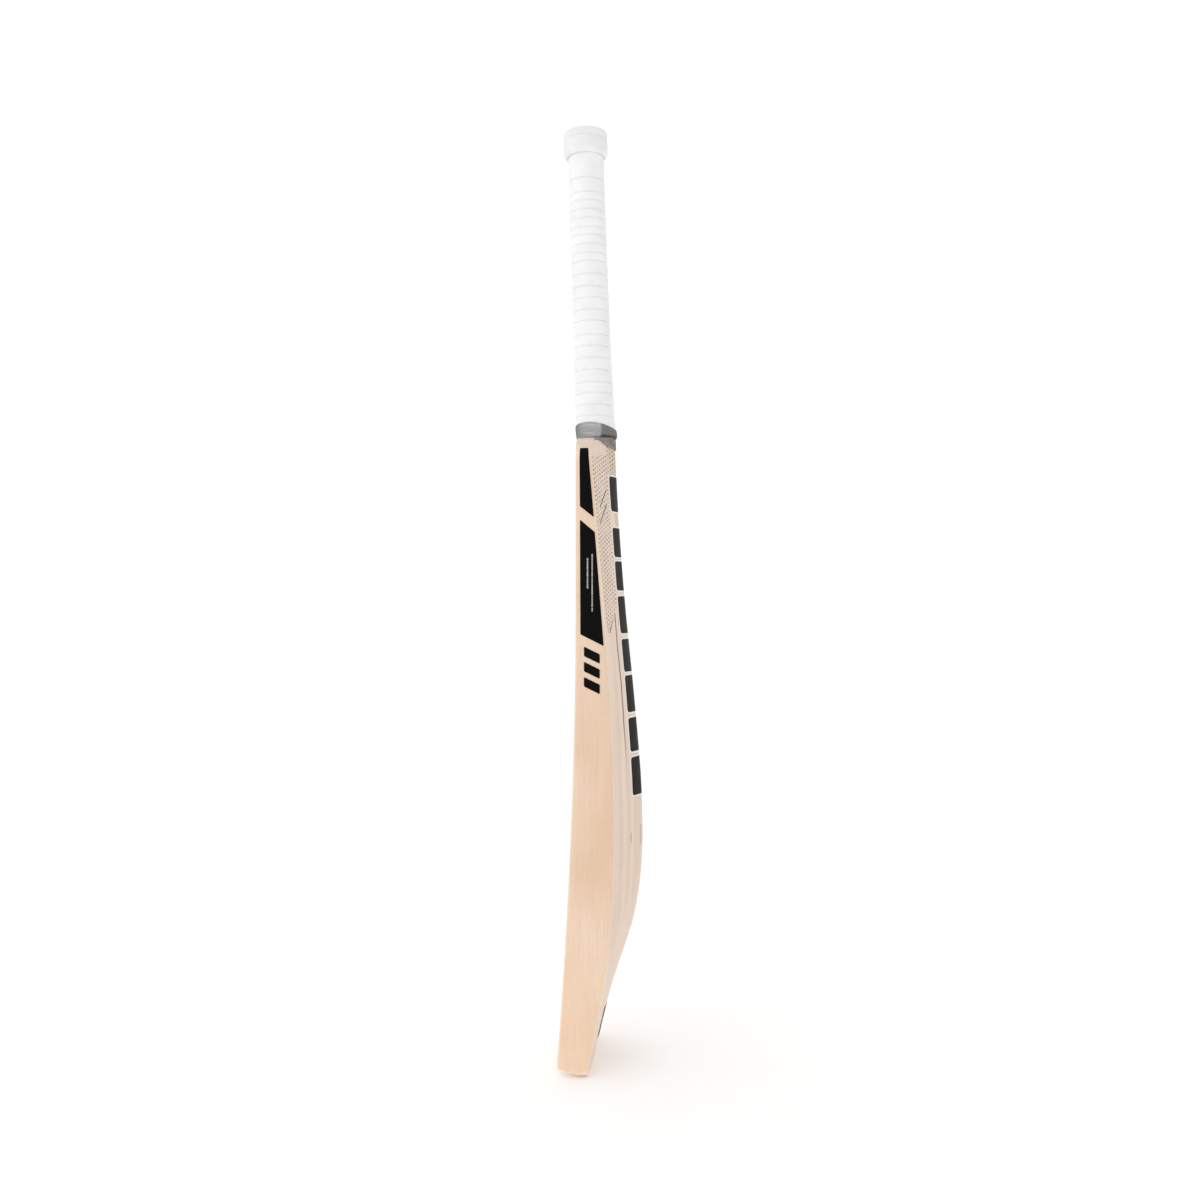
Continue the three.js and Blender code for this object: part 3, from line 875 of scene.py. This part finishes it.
def printMaterial():
    # clear film with fine print, over the same willow
    material, tree, shader = newMaterial("backPrint")
    base, height, gloss, (x, _, z) = willowLook(tree)
    base = addPrint(tree, base, x, z, 1.0)
    # a few bold strokes
    away = sums(tree, "ABSOLUTE", x)
    slant = sums(tree, "MULTIPLY_ADD", away, backPrint["strokeSlope"], z)
    for centre, first, last in backPrint["strokes"]:
        half = (last - first) / 2
        along = stripe(tree, away, (first + last) / 2, half, backPrint["strokeEnd"])
        across = stripe(tree, slant, centre, backPrint["strokeHalf"], backPrint["strokeSoft"])
        stroke = times(tree, times(tree, across, along), backPrint["strokeShare"])
        base = mix(tree, stroke, base, backPrint["stroke"])
    feed(tree, shader.inputs["Base Color"], base)
    feed(tree, shader.inputs["Roughness"], gloss)
    bump(tree, shader, height, *backPrint["relief"])
    return material


def mergedCopy(node, name, shift=(0, 0, 0)):
    piece = nodes[node].copy()
    piece.data = nodes[node].data.copy()
    piece.name = name
    piece.data.name = name
    for key in list(piece.keys()):
        del piece[key]
    piece.parent = None
    piece.matrix_world = Matrix.Identity(4)
    bpy.context.scene.collection.objects.link(piece)
    select(piece)
    bpy.ops.object.mode_set(mode="EDIT")
    bpy.ops.mesh.select_all(action="SELECT")
    bpy.ops.mesh.remove_doubles(threshold=0.000005)
    bpy.ops.mesh.tris_convert_to_quads()
    bpy.ops.mesh.normals_make_consistent(inside=False)
    bpy.ops.transform.translate(value=shift)
    bpy.ops.object.mode_set(mode="OBJECT")
    smooth(piece, 30)
    return piece


def dress(piece, material):
    piece.data.materials.clear()
    piece.data.materials.append(material)


def fit(piece, material, node):
    dress(piece, material)
    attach(piece, "root")
    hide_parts(node)


def addFloor():
    bpy.ops.object.select_all(action="DESELECT")
    bpy.ops.mesh.primitive_plane_add(size=studio["floorSize"], location=(0, 0, 0))
    floor = bpy.context.active_object
    floor.name = "studioFloor"
    material, tree, shader = newMaterial("paleFloor")
    speck = noise(tree, place(tree), 30)
    base = ramp(tree, speck, *zip((0.3, 0.7), studio["floorTone"]))
    feed(tree, shader.inputs["Base Color"], base)
    shader.inputs["Roughness"].default_value = 0.9
    shader.inputs["Specular IOR Level"].default_value = 0.1
    shader.inputs["Emission Color"].default_value = (1, 1, 1, 1)
    shader.inputs["Emission Strength"].default_value = studio["floorGlow"]
    dress(floor, material)


addCamera()
setStudio()
addFloor()
print("studio ready")

fit(mergedCopy("blade", "willowBladeBody"), bladeMaterial(), "blade")
fit(makeGrip(), gripMaterial(), "grip")
fit(makeBand(), bandMaterial(), "grip_end_band")
fit(makeTape(), tapeMaterial(), "throat_tape")
fit(mergedCopy("throat_binding", "throatTongue"), tongueMaterial(), "throat_binding")
print("blade, grip and tape made")

caneLook = caneMaterial()
springLook = springMaterial()
for name in sorted(nodes):
    if name.startswith("cane_slip"):
        dress(nodes[name], caneLook)
    elif name.startswith("spring_strip"):
        dress(nodes[name], springLook)
dress(nodes["twine_binding"], twineMaterial())
print("handle core dressed")

stickers = {
    "edge_panel": (panelMaterial(), "panel_vinyl"),
    "edge_badge": (plainVinyl("badgeVinyl", vinyl["badge"]), "badge_vinyl"),
    "toe_bar": (plainVinyl("toeVinyl", vinyl["toe"]), "toe_vinyl"),
    "back_print": (printMaterial(), "back_print"),
    "spine_block": (None, "block_vinyl"),
}
for name in sorted(nodes):
    for kind, (look, slot) in stickers.items():
        if name.startswith(kind):
            # a sticker lies on the wood, so its copy is let into the film of glue
            shift = (0, -vinyl["pressedBack"], 0)
            if kind.startswith("edge"):
                shift = (-vinyl["pressed"] if "near" in name else vinyl["pressed"], 0, 0)
            if kind == "spine_block":
                low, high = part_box(name)
                look = blockMaterial("ink_" + name, low.z, high.z)
            fit(mergedCopy(name, "film_" + name, shift), look, name)
print("stickers made")
